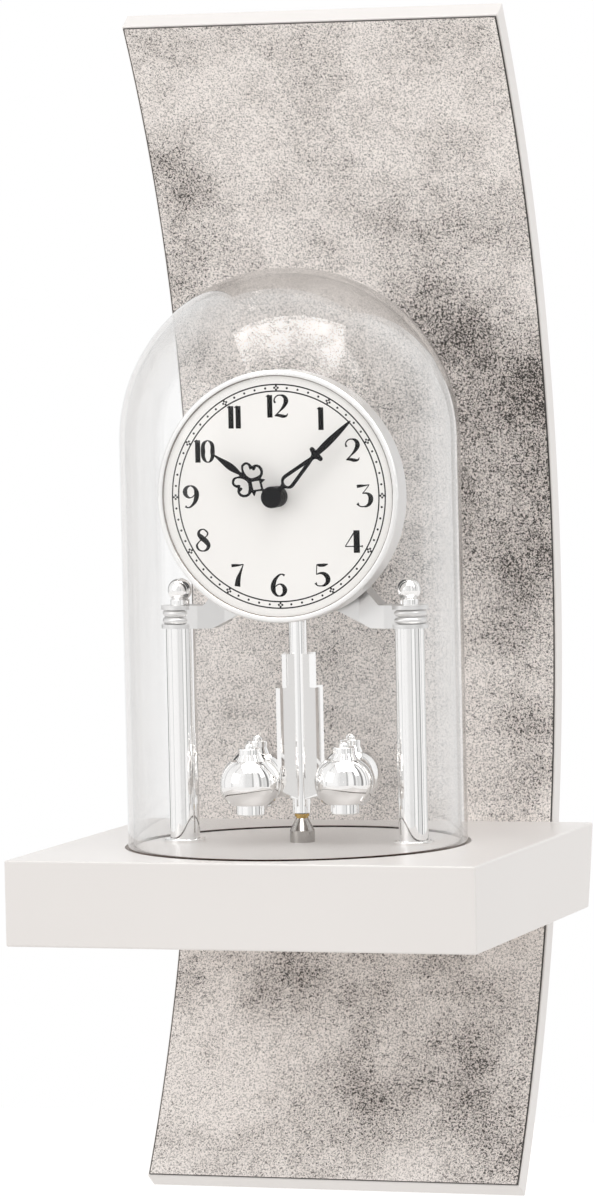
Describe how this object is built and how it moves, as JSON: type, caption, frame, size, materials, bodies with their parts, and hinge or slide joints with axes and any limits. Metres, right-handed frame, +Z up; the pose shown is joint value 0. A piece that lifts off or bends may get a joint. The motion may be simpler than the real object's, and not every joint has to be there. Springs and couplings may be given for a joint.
{
  "type": "desk pendulum clock",
  "caption": "Wall console with a curved decor panel and box shelf carrying a torsion pendulum clock under a lift-off glass dome",
  "frame": {"origin": "Middle of the hanging block's flat back, on the wall's face", "axes": "+X to the viewer's right, +Y into the wall, +Z up; the dial faces -Y"},
  "size_m": [0.1844, 0.1933, 0.459],
  "materials": {
    "white_lacquer": "satin white lacquer on bent and flat board",
    "concrete_decor": "matt concrete-look decor sheet",
    "dome_glass": "clear blown glass",
    "chrome": "bright chrome plate",
    "bare_steel": "zinc-plated or bare steel",
    "brass": "turned brass",
    "dial_white": "satin white enamel on aluminium sheet",
    "black_enamel": "gloss black enamel",
    "black_plastic": "moulded black plastic",
    "white_plastic": "moulded acetal",
    "copper_winding": "enamelled copper wire",
    "board_green": "solder-masked board",
    "cell_jacket": "printed steel jacket"
  },
  "bodies": {
    "console": {"wall_panel": "white_lacquer", "shelf": "white_lacquer", "hanging_block": "white_lacquer", "decor_sheet": "concrete_decor", "bridge": "chrome", "bezel_drum": "chrome", "column_left": "chrome", "column_right": "chrome", "foot_left": "chrome", "foot_right": "chrome", "finial_left": "chrome", "finial_right": "chrome", "guide_cup": "chrome", "hanger_plates": "bare_steel", "hanger_screws": "bare_steel", "shelf_screws": "bare_steel", "tie_rods": "bare_steel", "tie_nuts": "bare_steel", "case_screws": "bare_steel", "hanging_pin": "bare_steel", "contact_plus": "bare_steel", "contact_minus": "bare_steel", "stator": "bare_steel", "centre_bush": "brass", "cup_ring": "brass", "dial_plate": "dial_white", "dial_nut": "black_enamel", "case_front": "black_plastic", "case_back": "black_plastic", "swing_case": "black_plastic", "train_plate": "white_plastic", "stepper_coil": "copper_winding", "swing_coil": "copper_winding", "circuit_board": "board_green"},
    "dome": {"glass_dome": "dome_glass"},
    "minute_works": {"minute_arbor": "bare_steel", "minute_hand": "black_enamel", "cap_nut": "black_enamel"},
    "hour_works": {"hour_wheel": "brass", "hour_hand": "black_enamel"},
    "motion_works": {"motion_wheel": "white_plastic"},
    "setting_works": {"setting_knob": "black_plastic"},
    "rotor_works": {"rotor": "bare_steel"},
    "idler_works": {"idler_wheel": "white_plastic"},
    "seconds_works": {"seconds_wheel": "white_plastic"},
    "third_works": {"third_wheel": "white_plastic"},
    "centre_works": {"centre_wheel": "white_plastic"},
    "pendulum": {"pendulum_cap": "chrome", "swing_magnet": "bare_steel", "pendulum_tube": "chrome", "pendulum_cross": "chrome", "guide_pin": "bare_steel", "ball_caps": "chrome", "ball_stubs": "chrome", "ball_left_front": "chrome", "ball_left_back": "chrome", "ball_right_front": "chrome", "ball_right_back": "chrome"},
    "cell": {"battery": "cell_jacket"}
  },
  "joints": [
    {"name": "dome_lift", "type": "slide", "parent": "console", "child": "dome", "axis": [0, -0.2334, 0.9724], "range_m": [0, 0.19]},
    {"name": "minute_hand_turn", "type": "hinge", "parent": "console", "child": "minute_works", "pos_m": [0, -0.1112, 0.0441], "axis": [0, 1, 0], "continuous": true},
    {"name": "hour_hand_turn", "type": "hinge", "parent": "console", "child": "hour_works", "pos_m": [0, -0.1112, 0.0441], "axis": [0, 1, 0], "continuous": true},
    {"name": "motion_wheel_turn", "type": "hinge", "parent": "console", "child": "motion_works", "pos_m": [0, -0.1112, 0.0537], "axis": [0, 1, 0], "continuous": true},
    {"name": "setting_knob_turn", "type": "hinge", "parent": "console", "child": "setting_works", "pos_m": [0.0096, -0.1112, 0.0537], "axis": [0, 1, 0], "continuous": true},
    {"name": "rotor_turn", "type": "hinge", "parent": "console", "child": "rotor_works", "pos_m": [-0.0098, -0.1112, 0.058], "axis": [0, 1, 0], "continuous": true},
    {"name": "idler_wheel_turn", "type": "hinge", "parent": "console", "child": "idler_works", "pos_m": [-0.01232, -0.1112, 0.05364], "axis": [0, 1, 0], "continuous": true},
    {"name": "seconds_wheel_turn", "type": "hinge", "parent": "console", "child": "seconds_works", "pos_m": [-0.01276, -0.1112, 0.04862], "axis": [0, 1, 0], "continuous": true},
    {"name": "third_wheel_turn", "type": "hinge", "parent": "console", "child": "third_works", "pos_m": [-0.00911, -0.1112, 0.04079], "axis": [0, 1, 0], "continuous": true},
    {"name": "centre_wheel_turn", "type": "hinge", "parent": "console", "child": "centre_works", "pos_m": [0, -0.1112, 0.0441], "axis": [0, 1, 0], "continuous": true},
    {"name": "pendulum_turn", "type": "hinge", "parent": "console", "child": "pendulum", "pos_m": [0, -0.1137, -0.0294], "axis": [0, 0, 1], "range_deg": [-180, 180], "stiffness_Nm_per_rad": 0.00004},
    {"name": "battery_out", "type": "slide", "parent": "console", "child": "cell", "axis": [0, 1, 0], "range_m": [0, 0.018]}
  ],
  "couplings": [
    {"joint": "hour_hand_turn", "follows": "minute_hand_turn", "ratio": 0.083333},
    {"joint": "motion_wheel_turn", "follows": "minute_hand_turn", "ratio": -0.33333},
    {"joint": "setting_knob_turn", "follows": "minute_hand_turn", "ratio": 1},
    {"joint": "idler_wheel_turn", "follows": "rotor_turn", "ratio": -0.16667},
    {"joint": "seconds_wheel_turn", "follows": "rotor_turn", "ratio": 0.033333},
    {"joint": "third_wheel_turn", "follows": "rotor_turn", "ratio": -0.0041667},
    {"joint": "centre_wheel_turn", "follows": "rotor_turn", "ratio": 0.00055556}
  ]
}
